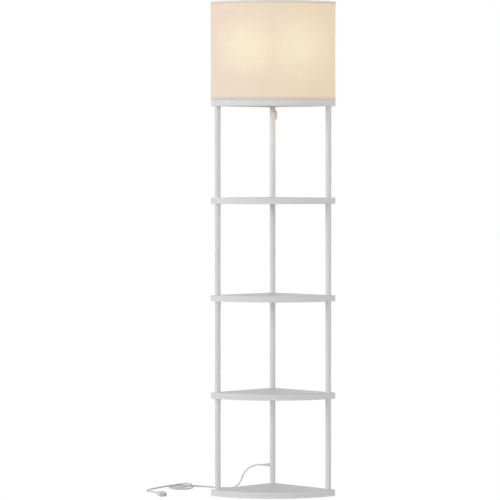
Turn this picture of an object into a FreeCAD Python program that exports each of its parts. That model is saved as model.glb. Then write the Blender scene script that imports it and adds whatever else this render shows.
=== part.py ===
import FreeCAD, Part
import math
import os

# A corner shelf floor lamp: five quarter-round boards stand one above the other on three tube
# posts, and a linen shade of the same outline sits on the top board round two angled bulbs.
# Millimetres. +X is the lamp's right, -Y its rounded front, +Z up. The origin is on the floor in
# the middle of the lamp's outline; the free cord, which lies behind and to the left, isn't
# counted in that outline.

# ---- driving sizes: boards and posts --------------------------------------------------------
fan_radius = 285.0
board_thickness = 20.0
board_corner_round = 2.5
bay_height = 294.0
bay_count = 4
post_diameter = 19.0
post_wall = 1.0
post_inset = 16.3
pad_height = 2.0
pad_diameter = 22.0
pad_inset = 44.0
frame_ring_width = 34.0
frame_opening_round = 14.0

# ---- driving sizes: post joints -------------------------------------------------------------
bolt_diameter = 6.0
bolt_head_diameter = 12.0
bolt_head_height = 5.0
bolt_head_recess = 1.0
bolt_key_width = 5.0
bolt_key_depth = 3.0
thread_reach = 14.0
insert_length = 18.0
pipe_diameter = 10.0
pipe_bore = 7.0
pipe_nut_width = 15.0
pipe_nut_height = 5.0
pipe_end_proud = 1.5
hole_clearance = 0.25
thread_clearance = 0.05
press_clearance = 0.03

# ---- driving sizes: lamp bar, stem and twin holder ------------------------------------------
bar_width = 30.0
bar_thickness = 3.0
bar_back_radius = 10.0
bar_back_taper = 26.0
bar_front_gap = 14.0
bar_screw_spacing = 16.0
bar_screw_setback = 9.0
lamp_y = -40.0
hub_height_over_frame = 85.0
stem_diameter = 13.0
stem_bore = 10.0
stem_nut_width = 17.0
stem_nut_height = 4.0
stem_lower_end = 7.0
stem_upper_end = 8.0
stem_slot_width = 6.0
hub_radius = 26.0
hub_wall = 2.5
hub_skirt = 17.0
hub_dome_rise = 13.0
cover_thickness = 2.5
socket_tilt = 45.0
neck_radius = 15.0
socket_start = 24.0
socket_length = 46.0
socket_floor = 4.0
socket_wall = 4.5
screw_shell_wall = 0.5
cap_diameter = 26.0
cap_length = 24.0
cap_running_clearance = 0.08

# ---- driving sizes: bulbs -------------------------------------------------------------------
bulb_diameter = 60.0
bulb_length = 110.0
bulb_wall = 1.2
bulb_tip_diameter = 9.0
bulb_tip_height = 4.0
dome_share_below_equator = 10.0

# ---- driving sizes: pull chain --------------------------------------------------------------
chain_x = 6.0
chain_forward = 14.0
bead_diameter = 3.2
bead_pitch = 4.4
link_diameter = 1.0
chain_travel = 8.0
switch_width = 12.0
switch_depth = 10.0
switch_height = 14.0
fob_diameter = 16.0
fob_height = 33.0
fob_drop = 12.5
fob_hold = 6.0
grommet_bore = 6.4
grommet_wall = 1.2
grommet_flange = 5.0
grommet_lip = 1.2

# ---- driving sizes: shade -------------------------------------------------------------------
shade_height = 316.0
shade_proud = 0.9
shade_corner_round = 4.5
ring_corner_round = 5.0
fabric_thickness = 1.0
hem_proud = 0.4
hem_width = 9.0
ring_wire = 4.0
upright_wire = 3.0
upright_setback = 22.0
soft_clearance = 0.2
clip_width = 10.0
clip_thickness = 1.5
clip_tab = 11.0
clip_finger = 3.5
clip_front_angle = 18.0
small_screw = 3.0
small_screw_head = 6.0
small_head_height = 2.0
small_screw_length = 13.0

# ---- driving sizes: cord and plug -----------------------------------------------------------
cord_diameter = 5.0
exit_height = 62.0
relief_length = 24.0
relief_neck = 9.0
relief_flange = 13.0
relief_flange_height = 2.5
relief_tip = 7.4
relief_groove = 6.6
relief_rib_count = 6
relief_rib_share = 0.6
coil_turns = 2.17
coil_start_angle = 68.0
coil_centre = (-300.5, 175.4)
coil_half_width = 44.0
coil_half_depth = 67.6
coil_pitch_across = 8.2
coil_pitch_deep = 19.0
coil_drift = 11.0
coil_inward_turns = 1.58
coil_opening = (6.5, 15.6, 12.0)
coil_hump_rise = 5.8
plug_heading = -67.0
plug_grip_length = 22.0
plug_grip_tip = 7.4
plug_grip_neck = 9.0
plug_body_length = 30.0
plug_width = 25.0
plug_height = 16.0
plug_rim = 5.0
plug_groove_radius = 1.8
plug_groove_depth = 0.7
plug_groove_count = 3
plug_groove_spacing = 4.0
blade_spacing = 12.7
blade_width = 6.3
blade_thickness = 1.5
blade_length = 16.0
blade_hole = 3.2

# ---- levels and places worked out from the sizes --------------------------------------------
ROOT_HALF = math.sqrt(0.5)
UP = FreeCAD.Vector(0, 0, 1)
back_reach = max(-(math.sqrt(2) - 1) * board_corner_round,
                 math.sqrt(2) * shade_proud - (math.sqrt(2) - 1) * shade_corner_round)
back_corner_y = (fan_radius + shade_proud - back_reach) / 2
storey = board_thickness + bay_height
post_bore_radius = post_diameter / 2 - post_wall
frame_bottom = pad_height + bay_count * storey
frame_top = frame_bottom + board_thickness
bar_top = frame_top + bar_thickness
shade_top = frame_top + shade_height
cord_radius = cord_diameter / 2


def vec(x, y, z=0.0):
    return FreeCAD.Vector(x, y, z)


def board_bottom(level):
    """Height of a board's underside; level 0 is the base."""
    return pad_height + level * storey


# ---- the quarter-round outline that boards, shade and rings share ---------------------------
def fan_corner(inset):
    return vec(0, back_corner_y - inset * math.sqrt(2))


def fan_tip(inset, side):
    """Where a straight side meets the round front, both moved in by inset. side is -1 or 1."""
    reach = math.sqrt((fan_radius - inset) ** 2 - inset ** 2) - inset
    return fan_corner(inset) + vec(side * ROOT_HALF * reach, -ROOT_HALF * reach)


def fan_front(inset):
    return vec(0, back_corner_y - fan_radius + inset)


def fan_prism(inset, corner_round, bottom, height):
    """A quarter-round block with its three upright edges rounded."""
    left, right, back = fan_tip(inset, -1), fan_tip(inset, 1), fan_corner(inset)
    outline = Part.Wire([
        Part.LineSegment(back, right).toShape(),
        Part.Arc(right, fan_front(inset), left).toShape(),
        Part.LineSegment(left, back).toShape(),
    ])
    block = Part.Face(outline).extrude(UP * height)
    upright = [edge for edge in block.Edges
               if edge.BoundBox.ZLength > height / 2 and edge.BoundBox.DiagonalLength < height * 1.001]
    block = block.makeFillet(corner_round, upright)
    block.translate(UP * bottom)
    return block


def fan_loop(inset, corner_round, level):
    """The same outline as a closed wire at one height."""
    block = fan_prism(inset, corner_round, level, 1.0)
    floor = min(block.Faces, key=lambda face: face.CenterOfMass.z)
    return floor.OuterWire


def post_centres():
    return {
        "left": fan_tip(post_inset, -1),
        "right": fan_tip(post_inset, 1),
        "back": fan_corner(post_inset),
    }


# ---- small helpers --------------------------------------------------------------------------
def rod(radius, bottom, top, at=None):
    return Part.makeCylinder(radius, top - bottom, (at or vec(0, 0)) + UP * bottom)


def tube(radius, bore, bottom, top, at=None):
    return rod(radius, bottom, top, at).cut(rod(bore, bottom, top, at))


def hexagon(width, bottom, top, at=None):
    """A six-sided prism, width across its flats."""
    reach = width / math.sqrt(3)
    corners = [vec(reach * math.cos(math.radians(60 * k)), reach * math.sin(math.radians(60 * k)))
               for k in range(7)]
    block = Part.Face(Part.makePolygon(corners)).extrude(UP * (top - bottom))
    block.translate((at or vec(0, 0)) + UP * bottom)
    return block


def turned(outline):
    """A solid of revolution about Z from (radius, height) corners."""
    points = [vec(radius, 0, height) for radius, height in outline]
    face = Part.Face(Part.makePolygon(points + points[:1]))
    return face.revolve(vec(0, 0), UP, 360)


def turned_edges(edges):
    face = Part.Face(Part.Wire(edges))
    return face.revolve(vec(0, 0), UP, 360)


def line(start, end):
    return Part.LineSegment(vec(start[0], 0, start[1]), vec(end[0], 0, end[1])).toShape()


def arc(start, middle, end):
    return Part.Arc(*[vec(p[0], 0, p[1]) for p in (start, middle, end)]).toShape()


def group(solids):
    return Part.makeCompound(solids)


# ---- boards ---------------------------------------------------------------------------------
def bolt_hole(centre, bottom, top):
    return rod(bolt_diameter / 2 + hole_clearance, bottom, top, centre)


def pipe_hole(centre, bottom, top):
    return rod(pipe_diameter / 2 + hole_clearance, bottom, top, centre)


def shelf(level):
    bottom = board_bottom(level)
    top = bottom + board_thickness
    board = fan_prism(0, board_corner_round, bottom, board_thickness)
    for name, centre in post_centres().items():
        if level == 0:
            recess = bolt_head_recess + bolt_head_height
            board = board.cut(bolt_hole(centre, bottom, top))
            board = board.cut(rod(bolt_head_diameter / 2 + hole_clearance, bottom, bottom + recess, centre))
        elif name == "back":
            board = board.cut(pipe_hole(centre, bottom, top))
        else:
            board = board.cut(bolt_hole(centre, bottom, top))
    return board


def bar_screw_places():
    y = fan_front(0).y + bar_front_gap + bar_screw_setback
    return [vec(side * bar_screw_spacing / 2, y) for side in (-1, 1)]


def fabric_inset():
    """How far the fabric's outer face lies inside the boards' outline; the hems stand prouder."""
    return hem_proud - shade_proud


def ring_inset():
    return fabric_inset() + fabric_thickness + soft_clearance + ring_wire / 2


def clip_places():
    """Where the shade's clips hold its bottom ring, with the turn that points a clip inward."""
    inset = ring_inset()
    places = []
    for side, turn in ((-1, -45), (1, -135)):
        places.append(((fan_corner(inset) + fan_tip(inset, side)) * 0.5, turn))
    for angle in (-clip_front_angle, clip_front_angle):
        turn = math.radians(angle)
        outward = vec(math.sin(turn), -math.cos(turn))
        places.append((fan_corner(0) + outward * (fan_radius - inset), 90 + angle))
    return places


def clip_screw_offset():
    return ring_wire / 2 + soft_clearance * 2 + clip_thickness + clip_tab / 2


def clip_screw_centres():
    centres = []
    for place, turn in clip_places():
        inward = vec(math.cos(math.radians(turn)), math.sin(math.radians(turn)))
        centres.append(place + inward * clip_screw_offset())
    return centres


def top_frame():
    """The open board under the shade: its middle is cut out so that light falls on the shelves."""
    frame = fan_prism(0, board_corner_round, frame_bottom, board_thickness)
    frame = frame.cut(fan_prism(frame_ring_width, frame_opening_round, frame_bottom, board_thickness))
    for name, centre in post_centres().items():
        drill = pipe_hole if name == "back" else bolt_hole
        frame = frame.cut(drill(centre, frame_bottom, frame_top))
    for centre in bar_screw_places() + clip_screw_centres():
        depth = small_screw_length
        frame = frame.cut(rod(small_screw / 2 + thread_clearance, frame_top - depth, frame_top, centre))
    return frame


def foot_pads():
    centres = [fan_tip(pad_inset, -1), fan_tip(pad_inset, 1), fan_corner(pad_inset), fan_front(pad_inset)]
    return group([rod(pad_diameter / 2, 0, pad_height, centre) for centre in centres])


# ---- posts and their joints -----------------------------------------------------------------
def cord_exit_direction():
    """The cord leaves the back post towards the lamp's left."""
    return vec(-1, 0)


def cord_exit():
    return post_centres()["back"] + cord_exit_direction() * (post_diameter / 2) + UP * exit_level()


def exit_level():
    return board_bottom(0) + board_thickness + exit_height


def post_tube(name, level):
    centre = post_centres()[name]
    bottom = board_bottom(level) + board_thickness
    body = tube(post_diameter / 2, post_bore_radius, bottom, bottom + bay_height, centre)
    if name == "back" and level == 0:
        start = centre + UP * exit_level()
        radius = relief_neck / 2 + thread_clearance
        body = body.cut(Part.makeCylinder(radius, post_diameter, start, cord_exit_direction()))
    return body


def insert(centre, bottom, bore_diameter):
    radius = post_bore_radius - press_clearance
    return tube(radius, bore_diameter / 2 + thread_clearance, bottom, bottom + insert_length, centre)


def post_inserts():
    """Threaded plugs at both ends of every tube: for bolts, and hollow ones for the pipes."""
    solid, hollow = [], []
    for name, centre in post_centres().items():
        for level in range(bay_count):
            bottom = board_bottom(level) + board_thickness
            for at_top in (False, True):
                start = bottom + (bay_height - insert_length if at_top else 0)
                if name == "back" and (level > 0 or at_top):
                    hollow.append(insert(centre, start, pipe_diameter))
                else:
                    solid.append(insert(centre, start, bolt_diameter))
    return group(solid), group(hollow)


def joining_studs():
    studs = []
    for name in ("left", "right"):
        for level in range(1, bay_count):
            bottom = board_bottom(level)
            studs.append(rod(bolt_diameter / 2, bottom - thread_reach,
                             bottom + board_thickness + thread_reach, post_centres()[name]))
    return group(studs)


def joining_pipes():
    pipes = []
    for level in range(1, bay_count):
        bottom = board_bottom(level)
        pipes.append(tube(pipe_diameter / 2, pipe_bore / 2, bottom - thread_reach,
                          bottom + board_thickness + thread_reach, post_centres()["back"]))
    return group(pipes)


def keyed_bolt(centre, head_end, head_inner, shank_end):
    """A bolt whose head runs from head_end to head_inner, with a six-sided key hole in it."""
    low, high = sorted((head_end, head_inner))
    bolt = rod(bolt_head_diameter / 2, low, high, centre)
    low, high = sorted((head_inner, shank_end))
    bolt = bolt.fuse(rod(bolt_diameter / 2, low, high, centre)).removeSplitter()
    key_end = head_end + math.copysign(bolt_key_depth, head_inner - head_end)
    low, high = sorted((head_end, key_end))
    return bolt.cut(hexagon(bolt_key_width, low, high, centre))


def base_bolts():
    head_end = pad_height + bolt_head_recess
    shank_end = board_bottom(0) + board_thickness + thread_reach
    return group([keyed_bolt(centre, head_end, head_end + bolt_head_height, shank_end)
                  for centre in post_centres().values()])


def top_bolts():
    return group([keyed_bolt(post_centres()[name], frame_top + bolt_head_height, frame_top,
                             frame_bottom - thread_reach) for name in ("left", "right")])


def outlet_pipe():
    """The hollow pipe that clamps the bar and the top frame to the back post."""
    top = bar_top + pipe_nut_height + pipe_end_proud
    return tube(pipe_diameter / 2, pipe_bore / 2, frame_bottom - thread_reach, top, post_centres()["back"])


def nut(width, bore_diameter, bottom, height, centre):
    block = hexagon(width, bottom, bottom + height, centre)
    return block.cut(rod(bore_diameter / 2 + thread_clearance, bottom, bottom + height, centre))


def outlet_nut():
    return nut(pipe_nut_width, pipe_diameter, bar_top, pipe_nut_height, post_centres()["back"])


# ---- lamp bar, stem and twin holder ---------------------------------------------------------
def lamp_centre():
    return vec(0, lamp_y)


def chain_centre():
    return vec(chain_x, lamp_y - chain_forward)


def hub_level():
    return frame_top + hub_height_over_frame


def cover_bottom():
    return hub_level() - hub_skirt


def lamp_bar():
    """The flat steel bar from the back post to the front, narrower where the shade closes in."""
    back = post_centres()["back"]
    front_y = fan_front(0).y + bar_front_gap
    half = bar_width / 2
    shoulder_y = back.y - bar_back_taper
    outline = Part.Wire([
        Part.Arc(back + vec(bar_back_radius, 0), back + vec(0, bar_back_radius),
                 back - vec(bar_back_radius, 0)).toShape(),
        Part.LineSegment(back - vec(bar_back_radius, 0), vec(-half, shoulder_y)).toShape(),
        Part.LineSegment(vec(-half, shoulder_y), vec(-half, front_y)).toShape(),
        Part.LineSegment(vec(-half, front_y), vec(half, front_y)).toShape(),
        Part.LineSegment(vec(half, front_y), vec(half, shoulder_y)).toShape(),
        Part.LineSegment(vec(half, shoulder_y), back + vec(bar_back_radius, 0)).toShape(),
    ])
    bar = Part.Face(outline).extrude(UP * bar_thickness)
    bar.translate(UP * frame_top)
    holes = [pipe_hole(back, frame_top, bar_top)]
    holes.append(rod(stem_diameter / 2 + hole_clearance, frame_top, bar_top, lamp_centre()))
    holes.append(rod(grommet_bore / 2 + grommet_wall, frame_top, bar_top, chain_centre()))
    holes += [rod(small_screw / 2 + hole_clearance, frame_top, bar_top, place) for place in bar_screw_places()]
    for hole in holes:
        bar = bar.cut(hole)
    return bar


def small_pan_screw(centre, seat):
    """A small screw whose round head sits on seat."""
    reach = frame_top - small_screw_length
    return rod(small_screw_head / 2, seat, seat + small_head_height, centre).fuse(
        rod(small_screw / 2, reach, seat, centre)).removeSplitter()


def lamp_bar_screws():
    return group([small_pan_screw(place, bar_top) for place in bar_screw_places()])


def lamp_stem():
    """The threaded pipe that carries the twin holder, with a slot where the cord goes in."""
    bottom = frame_top - stem_lower_end
    top = cover_bottom() + cover_thickness + stem_upper_end
    stem = tube(stem_diameter / 2, stem_bore / 2, bottom, top, lamp_centre())
    low = stem_cord_level() - cord_radius - soft_clearance
    high = low + 2 * stem_diameter
    slot = Part.makeBox(stem_slot_width, stem_diameter, high - low,
                        lamp_centre() + vec(-stem_slot_width / 2, 0, low))
    return stem.cut(slot)


def stem_nuts():
    """One nut on each face of the bar and of the hub's cover."""
    bottoms = [frame_top - stem_nut_height, bar_top, cover_bottom() - stem_nut_height,
               cover_bottom() + cover_thickness]
    return group([nut(stem_nut_width, stem_diameter, bottom, stem_nut_height, lamp_centre())
                  for bottom in bottoms])


def place_on_holder(shape, side):
    """Stands a shape made along +Z on the axis of the left (-1) or right (1) lamp holder."""
    shape.rotate(vec(0, 0), vec(0, 1), side * socket_tilt)
    shape.translate(lamp_centre() + UP * hub_level())
    return shape


def hub_body(radius, wall, neck):
    """A skirt with a shallow dome over it and a neck towards each lamp holder."""
    top = hub_dome_rise - wall
    skirt = -hub_skirt
    edges = [line((0, skirt), (radius, skirt)), line((radius, skirt), (radius, 0))]
    edges.append(arc((radius, 0), (radius * ROOT_HALF, top * ROOT_HALF * 1.08), (0, top)))
    edges.append(line((0, top), (0, skirt)))
    body = turned_edges(edges)
    body.translate(lamp_centre() + UP * hub_level())
    for side in (-1, 1):
        body = body.fuse(place_on_holder(rod(neck, 0, socket_start - wall), side))
    return body


def cluster_hub():
    outer = hub_body(hub_radius, 0, neck_radius)
    inner = turned([(0, -hub_skirt), (hub_radius - hub_wall, -hub_skirt), (hub_radius - hub_wall, -hub_wall),
                    (hub_radius * 0.45, hub_dome_rise - 2 * hub_wall), (0, hub_dome_rise - 2 * hub_wall)])
    inner.translate(lamp_centre() + UP * hub_level())
    hub = outer.cut(inner)
    return hub.removeSplitter()


def hub_cover():
    radius = hub_radius - hub_wall - press_clearance
    low = cover_bottom()
    cover = rod(radius, low, low + cover_thickness, lamp_centre())
    cover = cover.cut(rod(stem_diameter / 2 + hole_clearance, low, low + cover_thickness, lamp_centre()))
    return cover.cut(rod(grommet_bore / 2, low, low + cover_thickness, chain_centre()))


def switch_floor():
    return cover_bottom() + cover_thickness


def pull_switch():
    """The switch block on the hub's cover, with a well for the chain's top end."""
    corner = chain_centre() - vec(switch_width / 2, switch_depth / 2) + UP * switch_floor()
    block = Part.makeBox(switch_width, switch_depth, switch_height, corner)
    well = rod(bead_diameter / 2 + hole_clearance, switch_floor(), chain_top() + hole_clearance, chain_centre())
    return block.cut(well)


def socket_end():
    return socket_start + socket_length


def shell_bore_radius():
    return cap_diameter / 2 + cap_running_clearance


def socket_bore_radius():
    return shell_bore_radius() + screw_shell_wall + press_clearance


def tip_level():
    """Distance along a holder's axis from the hub to the bulb's contact."""
    return socket_end() + 1.0 - cap_length - bulb_tip_height


def lamp_holder(side):
    outer = socket_bore_radius() + socket_wall
    lip = outer + 1.5
    start, end = socket_start, socket_end()
    bore = socket_bore_radius()
    cup = turned([(0, start), (outer - 3, start), (outer, start + 3), (outer, end - 8), (lip, end - 6),
                  (lip, end), (bore, end), (bore, start + socket_floor), (0, start + socket_floor)])
    return place_on_holder(cup, side)


def screw_shell(side):
    floor = socket_start + socket_floor
    outer = shell_bore_radius() + screw_shell_wall
    shell = turned([(outer - 5, floor), (outer, floor), (outer, socket_end() - 2),
                    (shell_bore_radius(), socket_end() - 2), (shell_bore_radius(), floor + screw_shell_wall),
                    (outer - 5, floor + screw_shell_wall)])
    return place_on_holder(shell, side)


def socket_contact(side):
    """The brass rivet and spring disc that the bulb's tip rests on."""
    floor = socket_start + socket_floor
    tip = tip_level() - soft_clearance
    contact = turned([(0, floor), (6, floor), (6, floor + 1.5), (2.5, floor + 1.5), (2.5, tip - 1),
                      (4, tip - 1), (4, tip), (0, tip)])
    return place_on_holder(contact, side)


# ---- bulbs ----------------------------------------------------------------------------------
def bulb_centre_level():
    return tip_level() + bulb_length - bulb_diameter / 2


def bulb_cap(side):
    radius = cap_diameter / 2
    inner = radius - screw_shell_wall
    tip = tip_level()
    skirt = tip + bulb_tip_height
    end = skirt + cap_length - 1.0
    small = bulb_tip_diameter / 2
    cap = turned([(0, tip), (small, tip), (small, tip + 1), (radius, skirt), (radius, end), (inner, end),
                  (inner, skirt + 1), (small - 1, tip + 2), (0, tip + 2)])
    return place_on_holder(cap, side)


def dome_joint():
    """Radius and level where the milky dome meets the bulb's opaque neck."""
    radius = bulb_diameter / 2
    drop = dome_share_below_equator
    return math.sqrt(radius ** 2 - drop ** 2), bulb_centre_level() - drop


def bulb_neck(side):
    """The opaque plastic body that flares from the cap to the dome."""
    joint_radius, joint_level = dome_joint()
    low = tip_level() + bulb_tip_height + cap_length - 1.0
    foot = cap_diameter / 2 + 0.6
    wall = bulb_wall
    middle = (foot + (joint_radius - foot) * 0.42, low + (joint_level - low) * 0.55)
    edges = [
        line((foot - wall, low), (foot, low)),
        arc((foot, low), middle, (joint_radius, joint_level)),
        line((joint_radius, joint_level), (joint_radius - wall, joint_level)),
        arc((joint_radius - wall, joint_level), (middle[0] - wall, middle[1]), (foot - wall, low)),
    ]
    return place_on_holder(turned_edges(edges), side)


def bulb_dome(side):
    radius = bulb_diameter / 2
    centre = bulb_centre_level()
    joint_radius, joint_level = dome_joint()
    inner = radius - bulb_wall
    inner_joint = math.sqrt(inner ** 2 - dome_share_below_equator ** 2)
    turn = math.radians(30)
    edges = [
        line((inner_joint, joint_level), (joint_radius, joint_level)),
        arc((joint_radius, joint_level), (radius * math.cos(turn), centre + radius * math.sin(turn)),
            (0, centre + radius)),
        line((0, centre + radius), (0, centre + inner)),
        arc((0, centre + inner), (inner * math.cos(turn), centre + inner * math.sin(turn)),
            (inner_joint, joint_level)),
    ]
    return place_on_holder(turned_edges(edges), side)


# ---- pull chain -----------------------------------------------------------------------------
def fob_top():
    return frame_bottom - fob_drop


def bead_count():
    """As many beads as reach from inside the fob into the switch's well."""
    reach = switch_floor() + switch_height / 2 - (fob_top() - fob_hold)
    return int(reach / bead_pitch)


def chain_top():
    return fob_top() - fob_hold + (bead_count() - 1) * bead_pitch + bead_diameter


def pull_chain():
    """A ball chain, made as one turned string of beads and links."""
    wide, thin = bead_diameter / 2, link_diameter / 2
    flat = bead_diameter * 0.3
    outline = [(0, fob_top() - fob_hold)]
    for k in range(bead_count()):
        start = fob_top() - fob_hold + k * bead_pitch
        outline += [(thin, start), (wide, start + (bead_diameter - flat) / 2),
                    (wide, start + (bead_diameter + flat) / 2), (thin, start + bead_diameter)]
    outline.append((0, chain_top()))
    chain = turned(outline)
    chain.translate(chain_centre())
    return chain


def pull_fob():
    """The egg-shaped grip, wider in its upper half, with a hole for the chain's end."""
    radius = fob_diameter / 2
    top, bottom = fob_top(), fob_top() - fob_height
    hole = bead_diameter / 2 + thread_clearance
    belly = top - fob_height * 0.4
    floor = top - fob_hold - thread_clearance
    edges = [
        line((0, floor), (hole, floor)), line((hole, floor), (hole, top)),
        line((hole, top), (radius * 0.36, top)),
        arc((radius * 0.36, top), (radius * 0.83, top - fob_height * 0.13), (radius, belly)),
        arc((radius, belly), (radius * 0.87, belly - fob_height * 0.34), (radius * 0.4, bottom)),
        line((radius * 0.4, bottom), (0, bottom)), line((0, bottom), (0, floor)),
    ]
    fob = turned_edges(edges)
    fob.translate(chain_centre())
    return fob


def chain_grommet():
    """The bush that keeps the chain off the edge of its hole in the bar."""
    bore = grommet_bore / 2
    neck = bore + grommet_wall - press_clearance
    low, high = frame_top, bar_top
    bush = turned([(bore, low - grommet_lip), (grommet_flange, low - grommet_lip), (grommet_flange, low),
                   (neck, low), (neck, high), (grommet_flange, high), (grommet_flange, high + grommet_lip),
                   (bore, high + grommet_lip)])
    bush.translate(chain_centre())
    return bush


# ---- shade ----------------------------------------------------------------------------------
def shade_fabric():
    """Stiff lined linen on the ring wires, doubled over into a hem along both edges."""
    body = fan_prism(fabric_inset(), shade_corner_round - hem_proud, frame_top, shade_height)
    for hem_bottom in (frame_top, shade_top - hem_width):
        body = body.fuse(fan_prism(-shade_proud, shade_corner_round, hem_bottom, hem_width))
    inner_round = shade_corner_round - hem_proud - fabric_thickness
    return body.cut(fan_prism(fabric_inset() + fabric_thickness, inner_round, frame_top, shade_height))


def shade_ring(level):
    path = fan_loop(ring_inset(), ring_corner_round, level)
    start = path.Vertexes[0].Point
    direction = path.Edges[0].tangentAt(path.Edges[0].FirstParameter)
    section = Part.Wire([Part.makeCircle(ring_wire / 2, start, direction)])
    return path.makePipeShell([section], True, False)


def bottom_ring_level():
    return frame_top + ring_wire / 2 + soft_clearance / 2


def top_ring_level():
    return shade_top - ring_wire / 2 - soft_clearance


def shade_uprights():
    """Two wires beside each tip and two beside the back corner, welded between the rings."""
    low = bottom_ring_level() + ring_wire / 2 + thread_clearance
    high = top_ring_level() - ring_wire / 2 - thread_clearance
    inset = ring_inset()
    wires = []
    for side in (-1, 1):
        along = vec(side * ROOT_HALF, -ROOT_HALF) * upright_setback
        for place in (fan_tip(inset, side) - along, fan_corner(inset) + along):
            wires.append(rod(upright_wire / 2, low, high, place))
    return group(wires)


def shade_clip(place, turn):
    """A bent steel strip: a tab on the frame, a riser, and a finger over the ring wire."""
    near = ring_wire / 2 + soft_clearance * 2
    lift = ring_wire + soft_clearance * 2
    outline = [(near, 0), (near + clip_thickness + clip_tab, 0), (near + clip_thickness + clip_tab, clip_thickness),
               (near + clip_thickness, clip_thickness), (near + clip_thickness, lift + clip_thickness),
               (near - clip_finger, lift + clip_thickness), (near - clip_finger, lift), (near, lift)]
    points = [vec(x, -clip_width / 2, z) for x, z in outline]
    clip = Part.Face(Part.makePolygon(points + points[:1])).extrude(vec(0, clip_width))
    clip = clip.cut(rod(small_screw / 2 + hole_clearance, 0, clip_thickness, vec(clip_screw_offset(), 0)))
    clip.rotate(vec(0, 0), UP, turn)
    clip.translate(place + UP * frame_top)
    return clip


def shade_clips():
    return group([shade_clip(place, turn) for place, turn in clip_places()])


def clip_screws():
    return group([small_pan_screw(centre, frame_top + clip_thickness) for centre in clip_screw_centres()])


# ---- cord: routes of straight runs and tangent arcs -----------------------------------------
def rounded_path(points, name):
    """A wire along the points with an arc at each; its radius is as large as both runs allow."""
    edges, radii, start = [], [], points[0]
    for before, here, after in zip(points, points[1:], points[2:]):
        back, ahead = before - here, after - here
        shorter = min(back.Length, ahead.Length)
        back.normalize()
        ahead.normalize()
        half_turn = (math.pi - back.getAngle(ahead)) / 2
        cut = 0.45 * shorter
        radii.append(cut / math.tan(half_turn))
        first, last = here + back * cut, here + ahead * cut
        inward = (back + ahead).normalize()
        depth = math.hypot(radii[-1], cut) - radii[-1]
        edges.append(Part.LineSegment(start, first).toShape())
        edges.append(Part.Arc(first, here + inward * depth, last).toShape())
        start = last
    edges.append(Part.LineSegment(start, points[-1]).toShape())
    print(f"{name}: arc radii {[round(radius, 1) for radius in radii]} mm")
    return Part.Wire(edges)


def round_tube(path, diameter, name):
    """Sweeps a round section along a path and compares the volume with section times length."""
    first = path.OrderedEdges[0]
    start = first.valueAt(first.FirstParameter)
    direction = first.tangentAt(first.FirstParameter)
    section = Part.Wire([Part.makeCircle(diameter / 2, start, direction)])
    solid = path.makePipeShell([section], True, False)
    expected = math.pi * diameter ** 2 / 4 * path.Length
    print(f"{name}: length {path.Length:.1f} mm, volume {solid.Volume / expected:.4f} of section x length")
    return solid


def stem_cord_level():
    """Height at which the cord enters the stem, clear of the nut on the bar."""
    return bar_top + stem_nut_height + cord_radius + soft_clearance


def inner_cord():
    """The cord inside the lamp: up the back post, along the bar and up the stem."""
    back, lamp = post_centres()["back"], lamp_centre()
    low = exit_level()
    lying = bar_top + cord_radius + soft_clearance
    out = cord_exit_direction()
    points = [
        cord_exit(),
        back - out * 3.0 + UP * low,
        back + UP * (low + 4 * post_diameter),
        back + UP * (bar_top + 38.0) + vec(0, -1.0),
        back + vec(0, -30.0, bar_top + 52.0),
        back + vec(0, -58.0, bar_top + 25.0),
        back + vec(0, -84.0, lying),
        vec(lamp.x, lamp.y + 34.0, lying + 0.2),
        vec(lamp.x, lamp.y + 12.0, stem_cord_level() + 4.0),
        vec(lamp.x, lamp.y, stem_cord_level() + 24.0),
        vec(lamp.x, lamp.y, cover_bottom() + cover_thickness + stem_upper_end),
    ]
    return round_tube(rounded_path(points, "inner cord"), cord_diameter, "inner cord")


def relief_ribs(start, end):
    """(radius, height) corners of ribs that get thinner from start to end, each after its groove."""
    pitch = (end - start) / relief_rib_count
    corners = []
    for k in range(relief_rib_count):
        rib = (relief_neck + (relief_tip - relief_neck) * k / (relief_rib_count - 1)) / 2
        low, high = start + pitch * (k + 1 - relief_rib_share), start + pitch * (k + 1)
        corners += [(relief_groove / 2, start + pitch * k), (relief_groove / 2, low), (rib, low), (rib, high)]
    return corners


def strain_relief():
    """The ribbed sleeve at the cord's exit: its neck fills the hole, its flange fits the round post."""
    surface = post_diameter / 2
    bore = cord_radius + soft_clearance
    inside = post_bore_radius - 1.5
    seat = surface + relief_flange_height
    tip = surface + relief_length
    neck = turned([(bore, inside), (relief_neck / 2, inside), (relief_neck / 2, seat + 1.0)]
                  + relief_ribs(seat + 1.0, tip) + [(bore, tip)])
    flange = turned([(relief_neck / 2, inside), (relief_flange / 2, inside), (relief_flange / 2, seat - 1.0),
                     (relief_flange / 2 - 1.0, seat), (relief_neck / 2, seat + 1.0)])
    post = Part.makeCylinder(surface + thread_clearance, relief_flange * 2, vec(0, -relief_flange), vec(0, 1))
    neck.rotate(vec(0, 0), vec(0, 1), 90)
    flange.rotate(vec(0, 0), vec(0, 1), 90)
    post.rotate(vec(0, 0), vec(1, 0), 90)
    sleeve = neck.fuse(flange.cut(post)).removeSplitter()
    sleeve.rotate(vec(0, 0), UP, math.degrees(math.atan2(cord_exit_direction().y, cord_exit_direction().x)))
    sleeve.translate(post_centres()["back"] + UP * exit_level())
    return sleeve


# ---- the loose coil on the floor ------------------------------------------------------------
def blend(start, end, value):
    share = min(max((value - start) / (end - start), 0.0), 1.0)
    return share * share * (3 - 2 * share)


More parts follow.
